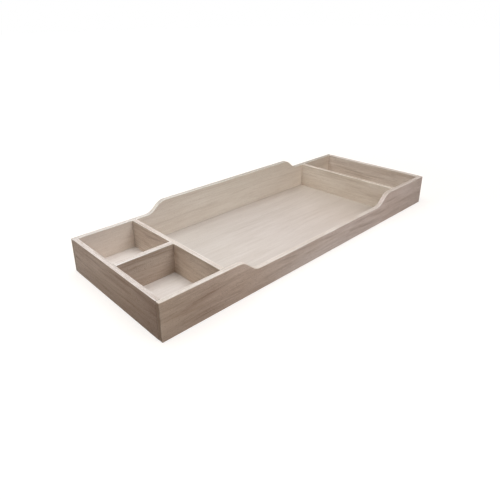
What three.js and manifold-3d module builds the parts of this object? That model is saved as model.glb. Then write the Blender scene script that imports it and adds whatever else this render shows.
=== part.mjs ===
// Dresser top changer: an open wooden tray that stands on a dresser and holds a changing pad
// between two small compartments on the left and one long compartment on the right.
// Millimetres. +X runs along the tray to the right, +Y from the front to the rear, +Z up.
// The origin is on the surface that the tray stands on, under the middle of the tray.

import * as THREE from 'three';
import { mergeVertices } from 'three/addons/utils/BufferGeometryUtils.js';
import Module from 'manifold-3d';

const wasm = await Module();
wasm.setup();

// Changing pad that the bay holds, with its play at each end and along each side
const padLength = 813;
const padWidth = 406;
const padEndClearance = 10;
const padSideClearance = 11;

// Boards
const wallThickness = 15;
const endThickness = 15;
const dividerThickness = 15;
const compartmentDividerThickness = 18;
const wallHeight = 110;
const scoopHeight = 70;
const humpHeight = 146;
const compartmentLength = 182.5;
const edgeRadius = 1.5;

// S curves of the front and rear panels, cut with one template
const curveRadius = 50;
const curveInset = 77.5;
const rampAngle = THREE.MathUtils.degToRad(40);

// Floor panel and the grooves that hold it
const floorThickness = 6;
const floorRecess = 10;
const grooveDepth = 8;

// Fluted dowels
const dowelRadius = 4;
const dowelLength = 30;
const dowelFaceDepth = 10;
const dowelChamfer = 0.8;
const fluteDepth = 0.3;
const fluteCount = 8;
const dowelHeightShares = { lower: 0.42, upper: 0.8 };

// Countersunk floor screws
const screwLength = 25;
const screwRadius = 2;
const screwHeadRadius = 4;
const screwHeadHeight = 2.2;
const screwRimHeight = 0.3;
const screwTipLength = 4;
const screwSetback = 0.2;
const crossScrewShares = [0.2, 0.5, 0.8];
const compartmentScrewShares = [0.28, 0.72];

// Clearance of each piece in the hole or groove that holds it, and the overrun of every cut
const fitClearance = 0.3;
const cutOverrun = 2;

// Facets
const roundSides = 16;
const curveSteps = 4;
const edgeSteps = 2;

// Sizes and places that follow
const bayLength = padLength + 2 * padEndClearance;
const bayWidth = padWidth + 2 * padSideClearance;
const innerLength = bayLength + 2 * (dividerThickness + compartmentLength);
const trayLength = innerLength + 2 * endThickness;
const wallY = (bayWidth + wallThickness) / 2;
const endX = (innerLength + endThickness) / 2;
const dividerX = (bayLength + dividerThickness) / 2;
const compartmentX = (bayLength + compartmentLength) / 2 + dividerThickness;
const floorTop = floorRecess + floorThickness;
const floorLength = innerLength + 2 * (grooveDepth - fitClearance);
const floorWidth = bayWidth + 2 * (grooveDepth - fitClearance);
const cornerRadius = 2 * edgeRadius;
const screwHeadZ = floorRecess + screwSetback;

// A closed solid from a geometry, with its shared vertices merged and its slivers left out
function toSolid(geometry) {
  const bare = geometry.clone();
  bare.deleteAttribute('normal');
  bare.deleteAttribute('uv');
  const merged = mergeVertices(bare);
  const index = merged.index.array;
  const triangles = [];
  for (let i = 0; i < index.length; i += 3) {
    const [a, b, c] = index.slice(i, i + 3);
    if (a !== b && b !== c && c !== a) triangles.push(a, b, c);
  }
  return new wasm.Manifold(new wasm.Mesh({
    numProp: 3,
    vertProperties: new Float32Array(merged.attributes.position.array),
    triVerts: new Uint32Array(triangles),
  }));
}

function toGeometry(solid) {
  const mesh = solid.getMesh();
  const geometry = new THREE.BufferGeometry();
  geometry.setAttribute('position', new THREE.BufferAttribute(mesh.vertProperties, 3));
  geometry.setIndex(new THREE.BufferAttribute(mesh.triVerts, 1));
  geometry.computeVertexNormals();
  return geometry;
}

// A block between two opposite corners
function block(low, high) {
  const size = high.map((value, axis) => value - low[axis]);
  const middle = high.map((value, axis) => (value + low[axis]) / 2);
  return new THREE.BoxGeometry(...size).translate(...middle);
}

// A shape in X and Z, given as a THREE.Shape in X and Y, extruded and centred along Y
function extrudeAlongY(shape, length, options) {
  const geometry = new THREE.ExtrudeGeometry(shape, options);
  geometry.rotateX(Math.PI / 2);
  geometry.computeBoundingBox();
  const { min, max } = geometry.boundingBox;
  return geometry.translate(0, -(min.y + max.y) / 2, 0);
}

// One S curve, added to an outline that comes along the top of a panel from +X towards -X.
// It goes through "middle", turns level at both ends and climbs by "rise", which may be negative.
function addCurve(shape, middle, rise) {
  const climb = Math.abs(rise);
  const turn = Math.sign(rise);
  const sine = Math.sin(rampAngle);
  const cosine = Math.cos(rampAngle);
  const radius = Math.min(curveRadius, climb / (2 * (1 - cosine)));
  const rampLength = (climb - 2 * radius * (1 - cosine)) / sine;
  const halfRun = radius * sine + rampLength * cosine / 2;
  const startZ = middle.y - rise / 2;
  const endZ = middle.y + rise / 2;
  const down = -Math.PI / 2;
  const up = Math.PI / 2;
  const first = turn > 0 ? down : up;
  const last = turn > 0 ? up : down;
  shape.absarc(middle.x + halfRun, startZ + turn * radius, radius, first, first - turn * rampAngle, turn > 0);
  shape.absarc(middle.x - halfRun, endZ - turn * radius, radius, last - turn * rampAngle, last, turn < 0);
}

// Front or rear panel: wall height at both ends, another height along the middle
function longPanel(middleHeight) {
  const halfLength = trayLength / 2;
  const middleX = bayLength / 2 - curveInset;
  const middleZ = (wallHeight + middleHeight) / 2;
  const rise = middleHeight - wallHeight;
  const shape = new THREE.Shape();
  const cornerX = halfLength - cornerRadius;
  shape.absarc(cornerX, cornerRadius, cornerRadius, -Math.PI / 2, 0);
  shape.absarc(cornerX, wallHeight - cornerRadius, cornerRadius, 0, Math.PI / 2);
  addCurve(shape, { x: middleX, y: middleZ }, rise);
  addCurve(shape, { x: -middleX, y: middleZ }, -rise);
  shape.absarc(-cornerX, wallHeight - cornerRadius, cornerRadius, Math.PI / 2, Math.PI);
  shape.absarc(-cornerX, cornerRadius, cornerRadius, Math.PI, 3 * Math.PI / 2);
  shape.closePath();
  return extrudeAlongY(shape, wallThickness, {
    depth: wallThickness - 2 * edgeRadius,
    bevelThickness: edgeRadius,
    bevelSize: edgeRadius,
    bevelOffset: -edgeRadius,
    bevelSegments: edgeSteps,
    curveSegments: curveSteps,
  });
}

// Short board with square ends: its section stands on "footZ" and has its edges eased,
// the lower ones only where it doesn't stand on the floor panel
function shortBoard(length, thickness, footZ, easedFoot) {
  const right = thickness / 2;
  const shape = new THREE.Shape();
  if (easedFoot) {
    shape.absarc(right - edgeRadius, footZ + edgeRadius, edgeRadius, -Math.PI / 2, 0);
  } else {
    shape.moveTo(right, footZ);
  }
  shape.absarc(right - edgeRadius, wallHeight - edgeRadius, edgeRadius, 0, Math.PI / 2);
  shape.absarc(edgeRadius - right, wallHeight - edgeRadius, edgeRadius, Math.PI / 2, Math.PI);
  if (easedFoot) {
    shape.absarc(edgeRadius - right, footZ + edgeRadius, edgeRadius, Math.PI, 3 * Math.PI / 2);
  } else {
    shape.lineTo(-right, footZ);
  }
  shape.closePath();
  return extrudeAlongY(shape, length, {
    depth: length,
    bevelEnabled: false,
    curveSegments: edgeSteps / 2,
  });
}

// Fluted pin along Z, with chamfered ends, centred on the origin
function dowel() {
  const shape = new THREE.Shape();
  for (let i = 0; i < 2 * fluteCount; i += 1) {
    const angle = Math.PI * i / fluteCount;
    const radius = i % 2 ? dowelRadius - fluteDepth : dowelRadius;
    if (i === 0) shape.moveTo(radius, 0);
    else shape.lineTo(radius * Math.cos(angle), radius * Math.sin(angle));
  }
  shape.closePath();
  const geometry = new THREE.ExtrudeGeometry(shape, {
    depth: dowelLength - 2 * dowelChamfer,
    bevelThickness: dowelChamfer,
    bevelSize: dowelChamfer,
    bevelOffset: -dowelChamfer,
    bevelSegments: 1,
  });
  return geometry.translate(0, 0, dowelChamfer - dowelLength / 2);
}

// Hole along Z for a pin, its flats clear of the pin, centred on the origin
function dowelHole() {
  const radius = (dowelRadius + fitClearance) / Math.cos(Math.PI / roundSides);
  const length = dowelLength + 2 * fitClearance;
  return new THREE.CylinderGeometry(radius, radius, length, roundSides).rotateX(Math.PI / 2);
}

// Screw profile from the head's face up to the tip, grown by "growth" for the hole it passes through
function screwProfile(growth) {
  const widen = (radius) => (radius + growth) / (growth ? Math.cos(Math.PI / roundSides) : 1);
  const headZ = growth ? -cutOverrun : 0;
  return [
    new THREE.Vector2(0, headZ),
    new THREE.Vector2(widen(screwHeadRadius), headZ),
    new THREE.Vector2(widen(screwHeadRadius), screwRimHeight + growth),
    new THREE.Vector2(widen(screwRadius), screwHeadHeight + growth),
    new THREE.Vector2(widen(screwRadius), screwLength - screwTipLength + growth),
    new THREE.Vector2(0, screwLength + growth),
  ];
}

function screw(growth = 0) {
  return new THREE.LatheGeometry(screwProfile(growth), roundSides).rotateX(Math.PI / 2);
}

// Where each dowel goes: the middle of its length, and the turn that lays it along X or Y.
// "towards" points from the long board's face into the end grain that the dowel runs deeper into.
const endGrainShift = dowelLength / 2 - dowelFaceDepth;
const dowels = [];

function addDowels(name, x, y, towards) {
  for (const [level, share] of Object.entries(dowelHeightShares)) {
    const face = new THREE.Vector3(x, y, share * wallHeight);
    dowels.push({
      name: `${name}_dowel_${level}`,
      position: face.addScaledVector(towards, endGrainShift),
      rotation: towards.x ? new THREE.Euler(0, Math.PI / 2, 0) : new THREE.Euler(Math.PI / 2, 0, 0),
    });
  }
}

const sides = [['front', -1], ['rear', 1]];
const ends = [['left', -1], ['right', 1]];

for (const [side, ySign] of sides) {
  const inward = new THREE.Vector3(0, -ySign, 0);
  for (const [end, xSign] of ends) {
    addDowels(`${side}_${end}_corner`, xSign * endX, ySign * bayWidth / 2, inward);
    addDowels(`${end}_divider_${side}`, xSign * dividerX, ySign * bayWidth / 2, inward);
  }
}
addDowels('compartment_divider_left', -innerLength / 2, 0, new THREE.Vector3(1, 0, 0));
addDowels('compartment_divider_right', compartmentLength - innerLength / 2, 0, new THREE.Vector3(-1, 0, 0));

// Where each floor screw goes
const screws = [];
for (const [end, xSign] of ends) {
  crossScrewShares.forEach((share, i) => {
    screws.push({
      name: `${end}_divider_screw_${i + 1}`,
      position: new THREE.Vector3(xSign * dividerX, (share - 0.5) * bayWidth, screwHeadZ),
    });
  });
}
compartmentScrewShares.forEach((share, i) => {
  screws.push({
    name: `compartment_divider_screw_${i + 1}`,
    position: new THREE.Vector3((share - 0.5) * compartmentLength - compartmentX, 0, screwHeadZ),
  });
});

// Grooves for the floor panel: stopped short of the ends in the long panels, full length in the end panels
function sideGroove(ySign) {
  const x = floorLength / 2 + fitClearance;
  const inner = ySign * (bayWidth / 2 - cutOverrun);
  const outer = ySign * (bayWidth / 2 + grooveDepth);
  const z = [floorRecess, floorTop + fitClearance];
  return block([-x, Math.min(inner, outer), z[0]], [x, Math.max(inner, outer), z[1]]);
}

function endGroove(xSign) {
  const y = bayWidth / 2 + cutOverrun;
  const inner = xSign * (innerLength / 2 - cutOverrun);
  const outer = xSign * (innerLength / 2 + grooveDepth);
  const z = [floorRecess, floorTop + fitClearance];
  return block([Math.min(inner, outer), -y, z[0]], [Math.max(inner, outer), y, z[1]]);
}

// All the holes, in the frame of the tray. Each board is cut by those that reach it.
const dowelHoles = dowels.map(({ position, rotation }) => {
  const place = new THREE.Matrix4().makeRotationFromEuler(rotation).setPosition(position);
  return dowelHole().applyMatrix4(place);
});
const screwHoles = screws.map(({ position }) => screw(fitClearance).translate(...position));
const holes = [...dowelHoles, ...screwHoles];

function reaches(cut, blank, position) {
  cut.computeBoundingBox();
  blank.computeBoundingBox();
  return cut.boundingBox.intersectsBox(blank.boundingBox.clone().translate(position));
}

function board(name, blank, position, color, grooves = []) {
  const place = new THREE.Vector3(...position);
  const back = place.clone().negate();
  let solid = toSolid(blank);
  for (const cut of [...grooves, ...holes.filter((hole) => reaches(hole, blank, place))]) {
    solid = solid.subtract(toSolid(cut.clone().translate(...back)));
  }
  const material = new THREE.MeshStandardMaterial({ color, roughness: 0.62, metalness: 0 });
  const mesh = new THREE.Mesh(toGeometry(solid), material);
  mesh.name = name;
  mesh.position.copy(place);
  return mesh;
}

const boards = new THREE.Group();
boards.add(
  board('front_panel', longPanel(scoopHeight), [0, -wallY, 0], 0xb3a190, [sideGroove(-1)]),
  board('rear_panel', longPanel(humpHeight), [0, wallY, 0], 0xc2b3a2, [sideGroove(1)]),
);
for (const [end, xSign] of ends) {
  const panel = shortBoard(bayWidth, endThickness, 0, true);
  boards.add(board(`${end}_end_panel`, panel, [xSign * endX, 0, 0], 0xa99886, [endGroove(xSign)]));
  const divider = shortBoard(bayWidth, dividerThickness, floorTop, false);
  boards.add(board(`${end}_divider`, divider, [xSign * dividerX, 0, 0], 0xb7a694));
}

const splitter = shortBoard(compartmentLength, compartmentDividerThickness, floorTop, false);
splitter.rotateZ(Math.PI / 2);
boards.add(board('compartment_divider', splitter, [-compartmentX, 0, 0], 0xad9c8a));

const floorSlab = block(
  [-floorLength / 2, -floorWidth / 2, 0],
  [floorLength / 2, floorWidth / 2, floorThickness],
);
boards.add(board('floor_panel', floorSlab, [0, 0, floorRecess], 0xd6cabe));

const pins = new THREE.Group();
for (const { name, position, rotation } of dowels) {
  const material = new THREE.MeshStandardMaterial({ color: 0xd8bf97, roughness: 0.7, metalness: 0 });
  const mesh = new THREE.Mesh(dowel(), material);
  mesh.name = name;
  mesh.position.copy(position);
  mesh.rotation.copy(rotation);
  pins.add(mesh);
}

const fasteners = new THREE.Group();
for (const { name, position } of screws) {
  const material = new THREE.MeshStandardMaterial({ color: 0xc7c4bd, roughness: 0.35, metalness: 0.9 });
  const mesh = new THREE.Mesh(screw(), material);
  mesh.name = name;
  mesh.position.copy(position);
  fasteners.add(mesh);
}

const tray = new THREE.Group();
tray.add(boards, pins, fasteners);

export default tray;
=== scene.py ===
import math

import bpy
import bmesh
from mathutils import Matrix, Vector


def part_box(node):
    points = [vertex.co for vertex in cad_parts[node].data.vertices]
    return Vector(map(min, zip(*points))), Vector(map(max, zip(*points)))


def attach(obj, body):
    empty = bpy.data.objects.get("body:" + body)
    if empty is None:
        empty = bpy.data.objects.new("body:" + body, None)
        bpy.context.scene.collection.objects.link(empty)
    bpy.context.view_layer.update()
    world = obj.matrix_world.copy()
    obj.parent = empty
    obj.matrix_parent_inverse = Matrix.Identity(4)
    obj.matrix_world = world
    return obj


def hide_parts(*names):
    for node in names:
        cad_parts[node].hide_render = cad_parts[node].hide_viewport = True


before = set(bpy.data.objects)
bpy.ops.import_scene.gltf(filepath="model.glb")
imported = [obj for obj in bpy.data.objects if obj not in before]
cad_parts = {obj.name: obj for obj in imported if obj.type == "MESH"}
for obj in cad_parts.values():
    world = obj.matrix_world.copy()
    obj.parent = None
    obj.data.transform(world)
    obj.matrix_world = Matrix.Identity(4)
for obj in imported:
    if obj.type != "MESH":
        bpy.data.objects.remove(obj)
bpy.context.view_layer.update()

# Metres. +X runs along the tray to the right, +Y from the low front to the raised rear, +Z up.

# Boards, read from the frame: lowest and highest corner of each
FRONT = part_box("front_panel")
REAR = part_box("rear_panel")
LEFT_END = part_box("left_end_panel")
RIGHT_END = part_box("right_end_panel")
LEFT_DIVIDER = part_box("left_divider")
RIGHT_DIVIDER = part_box("right_divider")
COMPARTMENT_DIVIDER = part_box("compartment_divider")
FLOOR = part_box("floor_panel")

# Outline of the long panels, whose S curves lie inwards of the dividers by the inset
WALL_HEIGHT = FRONT[1].z
HUMP_HEIGHT = REAR[1].z
SCOOP_HEIGHT = 0.070
CURVE_RADIUS = 0.050
CURVE_INSET = 0.0775
RAMP_ANGLE = math.radians(40)

# Eased edges, and the flat strip beside each that keeps its shading apart
EDGE_RADIUS = 0.0015
CORNER_RADIUS = 2 * EDGE_RADIUS
STRIP = 0.0012

# Fineness of the meshes
CURVE_STEPS = 24
EDGE_STEPS = 5
ROUND_STEPS = 24
THREAD_ROWS_PER_TURN = 6
SMOOTH_ANGLE = math.radians(35)
MERGE_DISTANCE = 1e-7

# Clearance round the floor panel, the dowels and the screws
FIT = 0.0003

# Screws, with heights from the head's face
SCREW_HEAD_RADIUS = 0.0040
SCREW_HEAD_HEIGHT = 0.0022
SCREW_RIM_HEIGHT = 0.0003
SCREW_CORE_RADIUS = 0.0014
SCREW_THREAD_RADIUS = 0.0020
SCREW_THREAD_PITCH = 0.0018
CREST_SHARE_OF_PITCH = 0.3
SCREW_LENGTH = 0.025
SCREW_TIP_LENGTH = 0.004
TIP_SHARE_OF_RADIUS = 0.02
RECESS_WIDTH = 0.0010
RECESS_SPAN = 0.0044
RECESS_DEPTH = 0.0014


# Outlines: lists of (across, up, eased), where eased is 1 along a rounded corner and 0 elsewhere


def arc(middle, radius, first, last, steps, eased):
    """Points of an arc, from its first angle to its last, in radians."""
    points = []
    for i in range(steps + 1):
        angle = first + (last - first) * i / steps
        x = middle[0] + radius * math.cos(angle)
        z = middle[1] + radius * math.sin(angle)
        points.append((x, z, eased))
    return points


def rounded(x, z, radius, quarter):
    """A rounded outer corner at x, z, with a strip at each side. Quarter 0 is at the right foot, and the
    others follow anticlockwise."""
    inward_x = -1 if quarter in (0, 1) else 1
    inward_z = 1 if quarter in (0, 3) else -1
    first = (quarter - 1) * math.pi / 2
    middle = (x + inward_x * radius, z + inward_z * radius)
    points = arc(middle, radius, first, first + math.pi / 2, EDGE_STEPS, 1)
    ahead = Vector((-math.sin(first), math.cos(first)))
    before = Vector(points[0][:2]) - STRIP * ahead
    after = Vector(points[-1][:2]) + STRIP * ahead.orthogonal()
    return [(*before, 0), *points, (*after, 0)]


def s_curve(middle, rise):
    """An S curve through its middle point, walked towards -X, that climbs by rise."""
    turn = math.copysign(1, rise)
    level = 1 - math.cos(RAMP_ANGLE)
    radius = min(CURVE_RADIUS, abs(rise) / (2 * level))
    ramp_length = (abs(rise) - 2 * radius * level) / math.sin(RAMP_ANGLE)
    half_run = radius * math.sin(RAMP_ANGLE) + ramp_length * math.cos(RAMP_ANGLE) / 2
    first_middle = (middle[0] + half_run, middle[1] - rise / 2 + turn * radius)
    last_middle = (middle[0] - half_run, middle[1] + rise / 2 - turn * radius)
    quarter = turn * math.pi / 2
    ramp = turn * RAMP_ANGLE
    return [
        *arc(first_middle, radius, -quarter, -quarter - ramp, CURVE_STEPS, 0),
        *arc(last_middle, radius, quarter - ramp, quarter, CURVE_STEPS, 0),
    ]


def long_outline(middle_height):
    """Front or rear panel: wall height at both ends, another height along the middle."""
    end = FRONT[1].x
    curve_x = RIGHT_DIVIDER[0].x - CURVE_INSET
    curve_z = (WALL_HEIGHT + middle_height) / 2
    rise = middle_height - WALL_HEIGHT
    return [
        *rounded(end, 0, CORNER_RADIUS, 0),
        *rounded(end, WALL_HEIGHT, CORNER_RADIUS, 1),
        *s_curve((curve_x, curve_z), rise),
        *s_curve((-curve_x, curve_z), -rise),
        *rounded(-end, WALL_HEIGHT, CORNER_RADIUS, 2),
        *rounded(-end, 0, CORNER_RADIUS, 3),
    ]


def section(thickness, foot, eased_foot):
    """Section of a short board, from its foot up to the wall height."""
    side = thickness / 2
    top = [
        *rounded(side, WALL_HEIGHT, EDGE_RADIUS, 1),
        *rounded(-side, WALL_HEIGHT, EDGE_RADIUS, 2),
    ]
    if eased_foot:
        return [*rounded(side, foot, EDGE_RADIUS, 0), *top, *rounded(-side, foot, EDGE_RADIUS, 3)]
    return [(side, foot, 0), *top, (-side, foot, 0)]


# Solids


def inset(outline, amount):
    """The outline moved inwards, each point along the bisector of its corner."""
    moved = []
    for i, (x, z, eased) in enumerate(outline):
        here = Vector((x, z))
        before = (here - Vector(outline[i - 1][:2])).normalized()
        after = (Vector(outline[(i + 1) % len(outline)][:2]) - here).normalized()
        side = before.orthogonal()
        bisector = (side + after.orthogonal()).normalized()
        point = here + bisector * amount / bisector.dot(side)
        moved.append((*point, eased))
    return moved


def extruded(outline, depth, radius):
    """A board with its outline in X and Z, centred along Y, and the edges of both faces eased by a radius.
    Its attribute edge is 1 where an edge is eased and 0 on the flats."""
    rings = [(0, -depth / 2, 0), (0, depth / 2, 0)]
    if radius:
        near = [(radius + STRIP, -depth / 2, 0)]
        for i in range(EDGE_STEPS + 1):
            angle = i / EDGE_STEPS * math.pi / 2
            near.append((radius * (1 - math.sin(angle)), radius * (1 - math.cos(angle)) - depth / 2, 1))
        near.append((0, radius + STRIP - depth / 2, 0))
        rings = [*near, *((amount, -y, eased) for amount, y, eased in reversed(near))]
    build = bmesh.new()
    edge = build.loops.layers.float.new("edge")
    loops = []
    for amount, y, eased in rings:
        ring = inset(outline, amount)
        loops.append([(build.verts.new((x, y, z)), max(eased, corner)) for x, z, corner in ring])
    for near, far in zip(loops, loops[1:]):
        for i in range(len(outline)):
            corners = [near[i - 1], near[i], far[i], far[i - 1]]
            face = build.faces.new([vert for vert, _ in corners])
            for loop, (_, eased) in zip(face.loops, corners):
                loop[edge] = eased
    build.faces.new([vert for vert, _ in loops[0]])
    build.faces.new([vert for vert, _ in loops[-1]])
    bmesh.ops.recalc_face_normals(build, faces=build.faces)
    return build


def revolved(profile):
    """A closed solid round Z from a list of (radius, height) whose ends are on the axis."""
    build = bmesh.new()
    verts = [build.verts.new((radius, 0, z)) for radius, z in profile]
    edges = [build.edges.new(pair) for pair in zip(verts, verts[1:])]
    bmesh.ops.spin(
        build, geom=verts + edges, cent=(0, 0, 0), axis=(0, 0, 1), steps=ROUND_STEPS,
        angle=2 * math.pi, use_merge=True,
    )
    bmesh.ops.remove_doubles(build, verts=build.verts, dist=MERGE_DISTANCE)
    bmesh.ops.recalc_face_normals(build, faces=build.faces)
    return build


def block(low, high):
    """A box between its lowest and highest corner."""
    build = bmesh.new()
    size = Vector(high) - Vector(low)
    middle = (Vector(high) + Vector(low)) / 2
    matrix = Matrix.Translation(middle) @ Matrix.Diagonal((*size, 1))
    bmesh.ops.create_cube(build, size=1, matrix=matrix)
    return build


def as_mesh(build, name):
    """The mesh of a finished bmesh, which is freed."""
    mesh = bpy.data.meshes.new(name)
    build.to_mesh(mesh)
    build.free()
    return mesh


def joined(builds, name):
    """One mesh of several solids that don't touch."""
    whole = bmesh.new()
    for build in builds:
        whole.from_mesh(as_mesh(build, name))
    return as_mesh(whole, name)


def link(name, mesh):
    """A new object in the scene."""
    piece = bpy.data.objects.new(name, mesh)
    bpy.context.scene.collection.objects.link(piece)
    return piece


def cut(piece, cutter):
    """Takes the cutter's mesh away from the piece."""
    tool = link("cutter", cutter)
    change = piece.modifiers.new("cut", "BOOLEAN")
    change.operation = "DIFFERENCE"
    change.solver = "EXACT"
    change.object = tool
    evaluated = piece.evaluated_get(bpy.context.evaluated_depsgraph_get())
    made = bpy.data.meshes.new_from_object(evaluated)
    piece.modifiers.remove(change)
    piece.data = made
    bpy.data.objects.remove(tool)


# Room for the floor panel, the dowels and the screws in the boards

DOWELS = [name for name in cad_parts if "_dowel_" in name]
SCREWS = [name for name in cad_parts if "_screw_" in name]


def floor_space():
    """The floor panel's grooves, on whose lower walls it lies."""
    low = FLOOR[0] - Vector((FIT, FIT, 0))
    high = FLOOR[1] + Vector((FIT, FIT, FIT))
    return as_mesh(block(low, high), "floor_space")


def dowel_space(name):
    """The bored hole round a dowel."""
    low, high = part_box(name)
    size = high - low
    reach = max(size) / 2 + FIT
    radius = min(size) / 2 + FIT
    hole = revolved([(0, -reach), (radius, -reach), (radius, reach), (0, reach)])
    along = Vector((1, 0, 0)) if size.x > size.y else Vector((0, 1, 0))
    turn = along.to_track_quat("Z", "Y").to_matrix().to_4x4()
    hole.transform(Matrix.Translation((low + high) / 2) @ turn)
    return hole


def foot(name):
    """The move from the origin to the middle of a node's lowest level."""
    low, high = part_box(name)
    return Matrix.Translation(((low.x + high.x) / 2, (low.y + high.y) / 2, low.z))


def screw_space(name):
    """The hole round a screw's thread and tip."""
    radius = SCREW_THREAD_RADIUS + FIT
    shoulder = SCREW_LENGTH - SCREW_TIP_LENGTH + FIT
    hole = revolved([(0, 0), (radius, 0), (radius, shoulder), (0, SCREW_LENGTH + FIT)])
    hole.transform(foot(name))
    return hole


# Shader nodes

# Places of the two colours and their result among the sockets of a Mix node
MIX_A, MIX_B, MIX_RESULT = 6, 7, 2


class Graph:
    """Short calls that add nodes to one tree and link them."""

    def __init__(self, tree):
        self.tree = tree
        tree.nodes.clear()

    def node(self, kind, inputs=(), **settings):
        node = self.tree.nodes.new(kind)
        for name, value in settings.items():
            setattr(node, name, value)
        for key, value in dict(inputs).items():
            if isinstance(value, bpy.types.NodeSocket):
                self.tree.links.new(value, node.inputs[key])
            else:
                node.inputs[key].default_value = value
        return node

    def math(self, operation, *values):
        return self.node("ShaderNodeMath", enumerate(values), operation=operation).outputs[0]

    def vector(self, operation, *values):
        node = self.node("ShaderNodeVectorMath", enumerate(values), operation=operation)
        return node.outputs["Value" if operation in ("LENGTH", "DOT_PRODUCT") else "Vector"]

    def noise(self, place, detail=2.0, roughness=0.5):
        """Noise from 0 to 1, with swells about one unit of the given place apart."""
        inputs = {"Vector": place, "Scale": 1.0, "Detail": detail, "Roughness": roughness}
        return self.node("ShaderNodeTexNoise", inputs).outputs["Fac"]

    def figure(self, place, size, detail=2.0, roughness=0.5):
        """Noise with swells of a given length along the grain, which is X, and width across it."""
        along, across = size
        stretched = self.vector("MULTIPLY", place, (1 / along, 1 / across, 1 / across))
        return self.noise(stretched, detail, roughness)

    def spread(self, value, low, high, to_low=0.0, to_high=1.0, kind="SMOOTHSTEP"):
        """The value's range from low to high, spread over another range."""
        inputs = {"Value": value, "From Min": low, "From Max": high, "To Min": to_low, "To Max": to_high}
        return self.node("ShaderNodeMapRange", inputs, interpolation_type=kind).outputs["Result"]

    def vary(self, base, source, amount):
        """The base moved up and down by an amount, as the source moves about one half."""
        return self.math("MULTIPLY_ADD", self.math("SUBTRACT", source, 0.5), amount, base)

    def mix(self, factor, a, b):
        inputs = {"Factor": factor, MIX_A: a, MIX_B: b}
        return self.node("ShaderNodeMix", inputs, data_type="RGBA").outputs[MIX_RESULT]

    def ramp(self, value, stops):
        """Colours that follow the value along stops, each a value and its colour. One stop stays plain."""
        if len(stops) == 1:
            return (*stops[0][1], 1)
        first, last = stops[0][0], stops[-1][0]
        ramp = self.node("ShaderNodeValToRGB", {"Fac": self.spread(value, first, last, kind="LINEAR")})
        elements = ramp.color_ramp.elements
        elements[0].color = (*stops[0][1], 1)
        elements[1].color = (*stops[-1][1], 1)
        for stop, tint in stops[1:-1]:
            elements.new((stop - first) / (last - first)).color = (*tint, 1)
        return ramp.outputs["Color"]

    def shade(self, inputs, height, strength, distance):
        """A Principled surface with bumps, whose distance is in metres, as the material's output."""
        bump = self.node("ShaderNodeBump", {"Height": height, "Strength": strength, "Distance": distance})
        shader = self.node("ShaderNodeBsdfPrincipled", {**inputs, "Normal": bump.outputs["Normal"]})
        self.node("ShaderNodeOutputMaterial", {"Surface": shader.outputs[0]})


def color(red, green, blue):
    """A linear colour from 8-bit sRGB values."""
    linear = []
    for value in (red, green, blue):
        share = value / 255
        linear.append(share / 12.92 if share <= 0.04045 else ((share + 0.055) / 1.055) ** 2.4)
    return (*linear, 1)


# Washed wood

EARLY_WOOD = color(173, 150, 129)
LATE_WOOD = color(145, 120, 99)
WASH = color(224, 211, 199)
PORE = color(122, 99, 80)
# Colour of the eased edges: partly worn wash, partly a painted highlight
EDGE_WEAR_AND_HIGHLIGHT = color(233, 224, 213)
END_WOOD = color(132, 111, 94)

# Length along the grain and width across it of the swells in each part of the figure
TRUNK_SIZE = (0.55, 0.09)
WAVE_SIZE = (0.12, 0.022)
PATCH_SIZE = (0.13, 0.020)
STREAK_SIZE = (0.10, 0.0075)
BAND_SIZE = (0.45, 0.035)
FIBRE_SIZE = (0.022, 0.0009)
PORE_SIZE = (0.0065, 0.00042)
CLOUD_SIZE = (0.16, 0.07)

# How far the trunk's swells and smaller waves bend a growth ring
TRUNK_BEND = 0.034
WAVE_BEND = 0.0035

# How far rings shift, in ring widths, and how many such shifts there are to a ring
RING_SHIFT = 1.0
RING_SHIFT_RATE = 0.6

# Late wood: where in a ring it sets in and where it stops, and how strong it is in the weakest year
LATE_ONSET = (0.25, 0.88)
LATE_STOP = (1.0, 0.93)
WEAKEST_YEAR = 0.35

# Late wood shows in patches: the noise from the faintest to the clearest, and how much shows in each
PATCH_NOISE = (0.35, 0.70)
PATCH_SHARE = (0.15, 0.9)

# Pores: the part of a ring over which they thin out, and the noise that one needs at its start and end
PORE_ZONE = (0.05, 0.55)
PORE_NOISE = (0.59, 0.66)

# Noise beyond that at which a pore reaches its full depth
PORE_RIM = 0.05

# Share of the wash, what end grain and late wood take off it, and how much its strokes vary
WASH_SHARE = 0.70
WASH_LOST_ON_END = 0.30
WASH_LOST_ON_LATE = 0.20
STREAK_IN_WASH = 0.55
BAND_IN_WASH = 0.55
CLOUD_IN_WASH = 0.30
FIBRE_IN_WASH = 0.50

# Strength of the pores' colour and of the end grain's
PORE_STRENGTH = 0.36
END_STRENGTH = 0.62

# Eased edges lighten along the streaks, by wear and a painted highlight: the noise from the least to the
# most, and how much
WEAR_AND_HIGHLIGHT_NOISE = (0.3, 0.7)
WEAR_AND_HIGHLIGHT_SHARE = (0.25, 0.75)

# Roughness of bare wood, what the wash takes off it, what pores and clouds add, and the gloss
BARE_ROUGHNESS = 0.62
WASH_SMOOTHING = 0.10
PORE_ROUGHENING = 0.12
CLOUD_ROUGHENING = 0.12
WOOD_GLOSS = 0.3

# Share of each part in the surface's relief, and the relief's height and strength
LATE_RELIEF = 0.30
FIBRE_RELIEF = 0.45
STREAK_RELIEF = 0.25
PORE_RELIEF = -0.70
WOOD_RELIEF = 0.0003
WOOD_BUMP = 0.55

# How squarely a face looks along the grain to be end grain, up to be a top with painted light, and up for
# an edge's wear and painted highlight
END_FACING = (0.75, 0.98)
TOP_PAINTED_LIGHT_FACING = (0.7, 0.95)
WEAR_AND_HIGHLIGHT_FACING = (-0.35, 0.15)


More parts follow.
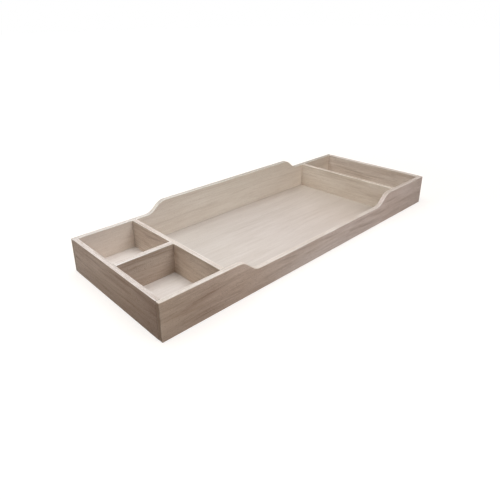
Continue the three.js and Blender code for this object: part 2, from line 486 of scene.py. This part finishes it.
def wood_group():
    """Washed open-grained wood. Grain Place is in metres from the log's pith, with the grain along X."""
    tree = bpy.data.node_groups.new("washed_wood", "ShaderNodeTree")
    graph = Graph(tree)
    for name, kind in (
        ("Grain Place", "Vector"), ("Edge", "Float"), ("End Grain", "Float"),
        ("Ring Width", "Float"), ("Tint", "Color"), ("Contrast", "Float"),
    ):
        tree.interface.new_socket(name, in_out="INPUT", socket_type="NodeSocket" + kind)
    for name, kind in (("Color", "Color"), ("Roughness", "Float"), ("Height", "Float")):
        tree.interface.new_socket(name, in_out="OUTPUT", socket_type="NodeSocket" + kind)
    given = graph.node("NodeGroupInput").outputs
    place = given["Grain Place"]

    # Growth rings round the pith, bent by slow swells of the trunk, each with its own strength
    radius = graph.vector("LENGTH", graph.vector("MULTIPLY", place, (0, 1, 1)))
    bent = graph.vary(radius, graph.figure(place, TRUNK_SIZE, detail=1.0), TRUNK_BEND)
    bent = graph.vary(bent, graph.figure(place, WAVE_SIZE), WAVE_BEND)
    rings = graph.math("DIVIDE", bent, given["Ring Width"])
    shift = graph.noise(graph.math("MULTIPLY", rings, RING_SHIFT_RATE), detail=1.0)
    rings = graph.vary(rings, shift, RING_SHIFT)
    phase = graph.math("FRACT", rings)
    year = graph.node("ShaderNodeTexWhiteNoise", {"W": graph.math("FLOOR", rings)}, noise_dimensions="1D")
    late = graph.math("MULTIPLY", graph.spread(phase, *LATE_ONSET), graph.spread(phase, *LATE_STOP))
    strength = graph.spread(year.outputs["Value"], 0, 1, WEAKEST_YEAR, 1, "LINEAR")
    late = graph.math("MULTIPLY", late, strength)
    patches = graph.spread(graph.figure(place, PATCH_SIZE), *PATCH_NOISE, *PATCH_SHARE)
    late = graph.math("MULTIPLY", graph.math("MULTIPLY", late, patches), given["Contrast"])

    # Streaks, fibres and pores along the grain
    streaks = graph.figure(place, STREAK_SIZE, detail=3.0)
    bands = graph.figure(place, BAND_SIZE)
    fibres = graph.figure(place, FIBRE_SIZE, detail=3.0, roughness=0.6)
    pores = graph.figure(place, PORE_SIZE, detail=1.0)
    needed = graph.spread(phase, *PORE_ZONE, *PORE_NOISE)
    pore = graph.spread(graph.math("SUBTRACT", pores, needed), 0, PORE_RIM)

    # The wash lies thin on late wood and end grain, and in uneven strokes
    clouds = graph.figure(place, CLOUD_SIZE)
    strokes = 0.0
    for source, amount in (
        (streaks, STREAK_IN_WASH), (bands, BAND_IN_WASH), (clouds, CLOUD_IN_WASH), (fibres, FIBRE_IN_WASH),
    ):
        strokes = graph.vary(strokes, source, amount)
    wash = graph.math("MULTIPLY_ADD", given["End Grain"], -WASH_LOST_ON_END, WASH_SHARE)
    wash = graph.math("MULTIPLY_ADD", late, -WASH_LOST_ON_LATE, wash)
    wash = graph.math("MULTIPLY_ADD", strokes, given["Contrast"], wash)
    wash = graph.spread(wash, 0, 1, 0, 1, "LINEAR")

    # Colour, from the bare wood up to the edges' wear and painted highlight
    base = graph.mix(wash, graph.mix(late, EARLY_WOOD, LATE_WOOD), WASH)
    depth = graph.math("MULTIPLY", given["Contrast"], PORE_STRENGTH)
    base = graph.mix(graph.math("MULTIPLY", pore, depth), base, PORE)
    base = graph.mix(graph.math("MULTIPLY", given["End Grain"], END_STRENGTH), base, END_WOOD)
    # Eased edges lightened in streaks: partly wear, partly a painted highlight
    wear_and_highlight = graph.math("MULTIPLY", given["Edge"], graph.spread(streaks, *WEAR_AND_HIGHLIGHT_NOISE, *WEAR_AND_HIGHLIGHT_SHARE))
    base = graph.mix(wear_and_highlight, base, EDGE_WEAR_AND_HIGHLIGHT)
    # The tint brings the board's own tone together with its painted light and shade
    tinted = graph.vector("MULTIPLY", base, given["Tint"])

    rough = graph.math("MULTIPLY_ADD", wash, -WASH_SMOOTHING, BARE_ROUGHNESS)
    rough = graph.math("MULTIPLY_ADD", pore, PORE_ROUGHENING, rough)
    rough = graph.vary(rough, clouds, CLOUD_ROUGHENING)

    height = graph.math("MULTIPLY", fibres, FIBRE_RELIEF)
    height = graph.math("MULTIPLY_ADD", late, LATE_RELIEF, height)
    height = graph.math("MULTIPLY_ADD", streaks, STREAK_RELIEF, height)
    height = graph.math("MULTIPLY_ADD", pore, PORE_RELIEF, height)

    graph.node("NodeGroupOutput", {"Color": tinted, "Roughness": rough, "Height": height})
    return tree


WOOD_GROUP = wood_group()


def wood_material(name, along, pith, tilt, ring_width, contrast, side_tones_and_painted_light, painted_top_light_and_shade):
    """One board's washed wood. Pith is the start of the grain and the pith's place across it, along +Y
    and +Z where the grain runs along X, and along -X and +Z where it runs along Y."""
    material = bpy.data.materials.new(name)
    material.use_nodes = True
    graph = Graph(material.node_tree)
    position = graph.node("ShaderNodeTexCoord").outputs
    axis, turn = {
        "X": ((1, 0, 0), (0, tilt, 0)),
        "Y": ((0, 1, 0), (tilt, 0, math.pi / 2)),
    }[along]
    grain = graph.node(
        "ShaderNodeMapping", {"Vector": position["Object"], "Rotation": turn}, vector_type="TEXTURE",
    )
    facing = graph.math("ABSOLUTE", graph.vector("DOT_PRODUCT", position["Normal"], axis))
    along_board = graph.vector("DOT_PRODUCT", position["Object"], axis)
    up = graph.vector("DOT_PRODUCT", position["Normal"], (0, 0, 1))
    # Sides: the board's own tone and painted light and shade along the board
    tint = graph.ramp(along_board, side_tones_and_painted_light)
    # Tops: painted light and shade where light falls on them from above
    if painted_top_light_and_shade:
        tint = graph.mix(graph.spread(up, *TOP_PAINTED_LIGHT_FACING), tint, graph.ramp(along_board, painted_top_light_and_shade))
    # Eased edges that don't face down get wear and a painted highlight; those facing down lie in shade and
    # get none
    edge = graph.node("ShaderNodeAttribute", attribute_name="edge").outputs["Fac"]
    wood = graph.node("ShaderNodeGroup", node_tree=WOOD_GROUP, inputs={
        "Grain Place": graph.vector("SUBTRACT", grain.outputs[0], pith),
        "Edge": graph.math("MULTIPLY", edge, graph.spread(up, *WEAR_AND_HIGHLIGHT_FACING)),
        "End Grain": graph.spread(facing, *END_FACING),
        "Ring Width": ring_width,
        "Tint": tint,
        "Contrast": contrast,
    }).outputs
    inputs = {"Base Color": wood["Color"], "Roughness": wood["Roughness"], "Specular IOR Level": WOOD_GLOSS}
    graph.shade(inputs, wood["Height"], WOOD_BUMP, WOOD_RELIEF)
    return material


# Dowels and screws

DOWEL_DARK = color(196, 162, 116)
DOWEL_LIGHT = color(222, 196, 152)
DOWEL_FIBRE_SIZE = (0.0030, 0.0006)
DOWEL_FLECK = color(150, 116, 78)
DOWEL_FLECK_SIZE = (0.0011, 0.0011)
DOWEL_FLECK_NOISE = (0.55, 0.75)
DOWEL_FLECK_STRENGTH = 0.35
DOWEL_ROUGHNESS = (0.62, 0.78)
DOWEL_BUMP = 0.4
DOWEL_RELIEF = 0.0002

ZINC_DARK = color(176, 176, 172)
ZINC_LIGHT = color(214, 213, 206)
ZINC_CLOUD_SIZE = (0.0014, 0.0014)
ZINC_SCRATCH_SIZE = (0.0001, 0.0008)
ZINC_SCRATCH_ROUGHENING = 0.5
ZINC_ROUGHNESS = (0.24, 0.46)
ZINC_BUMP = 0.2
ZINC_RELIEF = 0.00005

# Noise between which both go from their lowest to their highest roughness
ROUGHNESS_NOISE = (0.2, 0.8)


def dowel_material():
    """Plain hardwood with fine fibres and darker flecks."""
    material = bpy.data.materials.new("dowel_hardwood")
    material.use_nodes = True
    graph = Graph(material.node_tree)
    place = graph.node("ShaderNodeTexCoord").outputs["Object"]
    fibres = graph.figure(place, DOWEL_FIBRE_SIZE, detail=3.0)
    fleck = graph.spread(graph.figure(place, DOWEL_FLECK_SIZE), *DOWEL_FLECK_NOISE)
    base = graph.mix(fibres, DOWEL_DARK, DOWEL_LIGHT)
    base = graph.mix(graph.math("MULTIPLY", fleck, DOWEL_FLECK_STRENGTH), base, DOWEL_FLECK)
    rough = graph.spread(fibres, *ROUGHNESS_NOISE, *DOWEL_ROUGHNESS)
    graph.shade({"Base Color": base, "Roughness": rough}, fibres, DOWEL_BUMP, DOWEL_RELIEF)
    return material


def zinc_material():
    """Zinc plate, cloudy and lightly scratched."""
    material = bpy.data.materials.new("zinc_plate")
    material.use_nodes = True
    graph = Graph(material.node_tree)
    place = graph.node("ShaderNodeTexCoord").outputs["Object"]
    clouds = graph.figure(place, ZINC_CLOUD_SIZE, detail=3.0)
    scratches = graph.figure(place, ZINC_SCRATCH_SIZE)
    base = graph.mix(clouds, ZINC_DARK, ZINC_LIGHT)
    rough = graph.vary(clouds, scratches, ZINC_SCRATCH_ROUGHENING)
    rough = graph.spread(rough, *ROUGHNESS_NOISE, *ZINC_ROUGHNESS)
    inputs = {"Base Color": base, "Roughness": rough, "Metallic": 1.0}
    graph.shade(inputs, scratches, ZINC_BUMP, ZINC_RELIEF)
    return material


def thread(length):
    """The threaded part of a screw, from its neck at zero up to its tip."""
    build = bmesh.new()
    rows = round(length / SCREW_THREAD_PITCH * THREAD_ROWS_PER_TURN)
    loops = []
    for row in range(rows + 1):
        z = length * row / rows
        taper = min(1, (length - z) / SCREW_TIP_LENGTH)
        fade = min(1, row / THREAD_ROWS_PER_TURN)
        ring = []
        for side in range(ROUND_STEPS):
            phase = (z / SCREW_THREAD_PITCH - side / ROUND_STEPS) % 1
            crest = max(0, 1 - abs(phase - 0.5) / CREST_SHARE_OF_PITCH) * fade
            radius = SCREW_CORE_RADIUS + crest * (SCREW_THREAD_RADIUS - SCREW_CORE_RADIUS)
            angle = 2 * math.pi * side / ROUND_STEPS
            across = radius * max(taper, TIP_SHARE_OF_RADIUS)
            ring.append(build.verts.new((across * math.cos(angle), across * math.sin(angle), z)))
        loops.append(ring)
    for near, far in zip(loops, loops[1:]):
        for side in range(ROUND_STEPS):
            build.faces.new((near[side - 1], near[side], far[side], far[side - 1]))
    build.faces.new(loops[0])
    build.faces.new(loops[-1])
    bmesh.ops.recalc_face_normals(build, faces=build.faces)
    return build


def make_screw(name, material):
    """A countersunk screw with a cross recess and a thread."""
    neck = SCREW_HEAD_HEIGHT + SCREW_THREAD_PITCH / 2
    head = revolved([
        (0, 0), (SCREW_HEAD_RADIUS, 0), (SCREW_HEAD_RADIUS, SCREW_RIM_HEIGHT),
        (SCREW_CORE_RADIUS, SCREW_HEAD_HEIGHT), (SCREW_CORE_RADIUS, neck), (0, neck),
    ])
    piece = link(name + "_driven", as_mesh(head, name))
    for x, y in ((RECESS_SPAN / 2, RECESS_WIDTH / 2), (RECESS_WIDTH / 2, RECESS_SPAN / 2)):
        cut(piece, as_mesh(block((-x, -y, -RECESS_DEPTH), (x, y, RECESS_DEPTH)), "recess"))
    shank = thread(SCREW_LENGTH - neck)
    shank.transform(Matrix.Translation((0, 0, neck)))
    whole = bmesh.new()
    whole.from_mesh(piece.data)
    whole.from_mesh(as_mesh(shank, name))
    whole.transform(foot(name))
    piece.data = as_mesh(whole, name)
    finish_piece(piece, name, material)


# Pieces


def finish_piece(piece, node, material):
    """Gives a piece its material and shading, and puts it in its node's stead."""
    piece.data.materials.clear()
    piece.data.materials.append(material)
    piece.data.shade_smooth()
    piece.data.set_sharp_from_angle(angle=SMOOTH_ANGLE)
    weighted = piece.modifiers.new("weighted normals", "WEIGHTED_NORMAL")
    weighted.keep_sharp = True
    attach(piece, "root")
    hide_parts(node)


def make_board(name, build, material, cutters):
    """Puts a board's solid in its node's place, and cuts the room for what it holds."""
    low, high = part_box(name)
    build.transform(Matrix.Translation(((low.x + high.x) / 2, (low.y + high.y) / 2, 0)))
    piece = link(name + "_wood", as_mesh(build, name))
    for cutter in cutters:
        cut(piece, cutter)
    finish_piece(piece, name, material)


# Each board's grain: its axis, its start and the pith's place, its tilt, its ring width and its contrast
LOGS = {
    "front_panel": ("X", (2.6, -0.165, 0.050), 0.010, 0.0046, 1.55),
    "rear_panel": ("X", (1.7, 0.305, 0.040), -0.012, 0.0050, 0.72),
    "left_end_panel": ("Y", (3.8, 0.560, 0.075), 0.020, 0.0040, 1.9),
    "right_end_panel": ("Y", (4.3, -0.540, 0.030), 0.020, 0.0044, 1.6),
    "left_divider": ("Y", (5.2, 0.350, 0.090), -0.020, 0.0040, 1.5),
    "right_divider": ("Y", (6.9, -0.505, 0.060), 0.020, 0.0042, 1.2),
    "compartment_divider": ("X", (7.7, 0.080, 0.045), 0.030, 0.0042, 1.8),
    "floor_panel": ("X", (9.1, 0.02, -0.160), 0.006, 0.0060, 0.54),
}

# Tints of each board's sides and of its top, each with its place along the board: partly own tone, partly
# painted light and shade
TONES_AND_PAINTED_LIGHT = {
    "front_panel": (
        (
            (-0.60, (0.83, 0.77, 0.71)), (-0.48, (0.83, 0.76, 0.72)), (-0.36, (0.95, 0.89, 0.86)),
            (-0.15, (1.03, 1.03, 1.07)), (0.15, (1.13, 1.15, 1.24)), (0.36, (1.02, 0.99, 1.03)),
            (0.60, (0.89, 0.86, 0.88)),
        ),
        ((-0.50, (0.97, 0.99, 1.01)), (0.00, (1.04, 1.07, 1.09)), (0.50, (0.82, 0.79, 0.78))),
    ),
    "rear_panel": (
        ((-0.60, (1.16, 1.21, 1.25)), (0.00, (1.22, 1.32, 1.34)), (0.60, (1.01, 1.02, 0.99))),
        ((-0.50, (0.99, 1.04, 1.11)), (0.00, (0.61, 0.62, 0.60))),
    ),
    "left_end_panel": (
        (
            (-0.20, (0.52, 0.43, 0.38)), (-0.07, (0.70, 0.61, 0.55)), (0.07, (0.82, 0.76, 0.73)),
            (0.20, (0.85, 0.80, 0.79)),
        ),
        ((0.00, (1.01, 1.04, 1.10)),),
    ),
    "right_end_panel": (((0.00, (1.03, 1.03, 1.02)),), ((0.00, (0.93, 0.93, 0.93)),)),
    "left_divider": (
        ((-0.03, (1.02, 1.02, 0.99)), (0.03, (1.22, 1.20, 1.20)), (0.20, (0.98, 1.01, 1.02))),
        ((0.00, (1.00, 1.02, 1.05)),),
    ),
    "right_divider": (((0.00, (1.08, 1.11, 1.09)),), ((0.00, (0.81, 0.77, 0.72)),)),
    "compartment_divider": (
        ((-0.56, (0.71, 0.68, 0.65)), (-0.48, (0.82, 0.81, 0.79))),
        ((0.00, (1.18, 1.26, 1.37)),),
    ),
    "floor_panel": (
        (
            (-0.52, (1.09, 1.15, 1.23)), (-0.30, (0.89, 0.93, 0.97)), (0.00, (0.88, 0.90, 0.94)),
            (0.22, (0.85, 0.85, 0.86)), (0.40, (0.76, 0.76, 0.75)), (0.50, (0.78, 0.79, 0.78)),
        ),
        (),
    ),
}


def make_boards(grain):
    """All boards but the floor panel, with room for it in the outer four."""
    dowel_holes = joined([dowel_space(name) for name in DOWELS], "dowel_holes")
    screw_holes = joined([screw_space(name) for name in SCREWS], "screw_holes")
    outer = [floor_space(), dowel_holes]
    inner = [dowel_holes, screw_holes]
    for name, (low, high), middle_height in (
        ("front_panel", FRONT, SCOOP_HEIGHT),
        ("rear_panel", REAR, HUMP_HEIGHT),
    ):
        build = extruded(long_outline(middle_height), high.y - low.y, EDGE_RADIUS)
        make_board(name, build, grain[name], outer)
    for name, (low, high), eased_foot, cutters in (
        ("left_end_panel", LEFT_END, True, outer),
        ("right_end_panel", RIGHT_END, True, outer),
        ("left_divider", LEFT_DIVIDER, False, inner),
        ("right_divider", RIGHT_DIVIDER, False, inner),
    ):
        build = extruded(section(high.x - low.x, low.z, eased_foot), high.y - low.y, 0)
        make_board(name, build, grain[name], cutters)
    low, high = COMPARTMENT_DIVIDER
    build = extruded(section(high.y - low.y, low.z, False), high.x - low.x, 0)
    build.transform(Matrix.Rotation(math.pi / 2, 4, "Z"))
    make_board("compartment_divider", build, grain["compartment_divider"], inner)


def dress_nodes(grain):
    """The floor panel and the dowels keep their modelled shapes."""
    pin = dowel_material()
    for name, material in [("floor_panel", grain["floor_panel"]), *((name, pin) for name in DOWELS)]:
        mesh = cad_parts[name].data
        mesh.materials.clear()
        mesh.materials.append(material)


# Camera, lights and stage

# The photograph's camera, with its lens and sensor in millimetres
LENS = 32.39
SENSOR = 36
SHIFT = (0.03, -0.09)
CAMERA_PLACE = (-1.0762, -0.9738, 0.7004)
CAMERA_AZIMUTH = math.radians(-42.57)
CAMERA_ELEVATION = math.radians(22.46)
CAMERA_ROLL = math.radians(-0.76)

# Each light's place, what it faces, its size, its power in watts and its colour
LIGHTS = {
    "front": ((0.1, -1.7, 1.6), (0.0, 0.0, 0.0), (1.4, 1.0), 26.1, (1.000, 0.975, 0.985)),
    "overhead": ((-0.3, 0.3, 2.0), (-0.3, 0.0, 0.0), (1.2, 1.2), 28.7, (0.853, 0.940, 1.000)),
    "left": ((-1.7, 0.6, 1.5), (-0.3, 0.0, 0.0), (1.2, 1.0), 12.2, (1.000, 0.930, 0.872)),
    "rear_right": ((1.3, 1.8, 1.3), (0.0, 0.0, 0.0), (1.4, 1.0), 13.0, (1.000, 0.910, 0.890)),
}

# Strength of the world as light on the object, and as it is seen
WORLD_LIGHT = 0.03
WORLD_SEEN = 1.0
WHITE = (1, 1, 1, 1)

# Stage floor: half width, level, own colour, and its glow at two distances from the middle
STAGE_REACH = 30
STAGE_LEVEL = -0.0002
STAGE_COLOR = (0.36, 0.31, 0.26, 1)
STAGE_GLOW = (0.76, 1.0)
STAGE_GLOW_DISTANCE = (0.7, 2.2)


def place_camera():
    """The camera at the photograph's viewing angle."""
    data = bpy.data.cameras.new("camera")
    data.sensor_width = SENSOR
    data.lens = LENS
    data.shift_x, data.shift_y = SHIFT
    camera = bpy.data.objects.new("camera", data)
    bpy.context.scene.collection.objects.link(camera)
    turn = Matrix.Rotation(CAMERA_AZIMUTH, 4, "Z")
    turn = turn @ Matrix.Rotation(math.pi / 2 - CAMERA_ELEVATION, 4, "X")
    turn = turn @ Matrix.Rotation(CAMERA_ROLL, 4, "Z")
    camera.matrix_world = Matrix.Translation(CAMERA_PLACE) @ turn
    bpy.context.scene.camera = camera


def make_lights():
    """Soft studio lights."""
    for name, (place, target, size, power, tint) in LIGHTS.items():
        data = bpy.data.lights.new(name, "AREA")
        data.shape = "RECTANGLE"
        data.size, data.size_y = size
        data.energy = power
        data.color = tint
        light = bpy.data.objects.new(name, data)
        bpy.context.scene.collection.objects.link(light)
        turn = (Vector(target) - Vector(place)).to_track_quat("-Z", "Y").to_matrix().to_4x4()
        light.matrix_world = Matrix.Translation(place) @ turn


def seen(graph):
    """1 where it is seen, straight or by way of gloss or glass, and 0 where it only lights other things."""
    path = graph.node("ShaderNodeLightPath").outputs
    camera_or_gloss = graph.math("MAXIMUM", path["Is Camera Ray"], path["Is Glossy Ray"])
    return graph.math("MAXIMUM", camera_or_gloss, path["Is Transmission Ray"])


def make_world():
    """White where it is seen, and a weak even light on the object."""
    world = bpy.data.worlds.new("world")
    bpy.context.scene.world = world
    world.use_nodes = True
    graph = Graph(world.node_tree)
    strength = graph.spread(seen(graph), 0, 1, WORLD_LIGHT, WORLD_SEEN, "LINEAR")
    background = graph.node("ShaderNodeBackground", {"Color": WHITE, "Strength": strength})
    graph.node("ShaderNodeOutputWorld", {"Surface": background.outputs[0]})


def make_floor():
    """A pale floor, a hair below the tray, that keeps its shadow and shows white elsewhere."""
    signs = ((-1, -1), (1, -1), (1, 1), (-1, 1))
    corners = [(x * STAGE_REACH, y * STAGE_REACH, STAGE_LEVEL) for x, y in signs]
    mesh = bpy.data.meshes.new("floor")
    mesh.from_pydata(corners, [], [(0, 1, 2, 3)])
    link("floor", mesh)
    material = bpy.data.materials.new("pale_floor")
    material.use_nodes = True
    graph = Graph(material.node_tree)
    diffuse = graph.node("ShaderNodeBsdfDiffuse", {"Color": STAGE_COLOR})
    distance = graph.vector("LENGTH", graph.node("ShaderNodeTexCoord").outputs["Object"])
    fade = graph.spread(distance, *STAGE_GLOW_DISTANCE, *STAGE_GLOW)
    strength = graph.math("MULTIPLY", seen(graph), fade)
    glow = graph.node("ShaderNodeEmission", {"Color": WHITE, "Strength": strength})
    both = graph.node("ShaderNodeAddShader", {0: diffuse.outputs[0], 1: glow.outputs[0]})
    graph.node("ShaderNodeOutputMaterial", {"Surface": both.outputs[0]})
    mesh.materials.append(material)


wood = {name: wood_material(name + "_wood", *log, *TONES_AND_PAINTED_LIGHT[name]) for name, log in LOGS.items()}
make_boards(wood)
dress_nodes(wood)
zinc = zinc_material()
for screw_name in SCREWS:
    make_screw(screw_name, zinc)
place_camera()
make_lights()
make_world()
make_floor()
bpy.context.scene.view_settings.view_transform = "Standard"
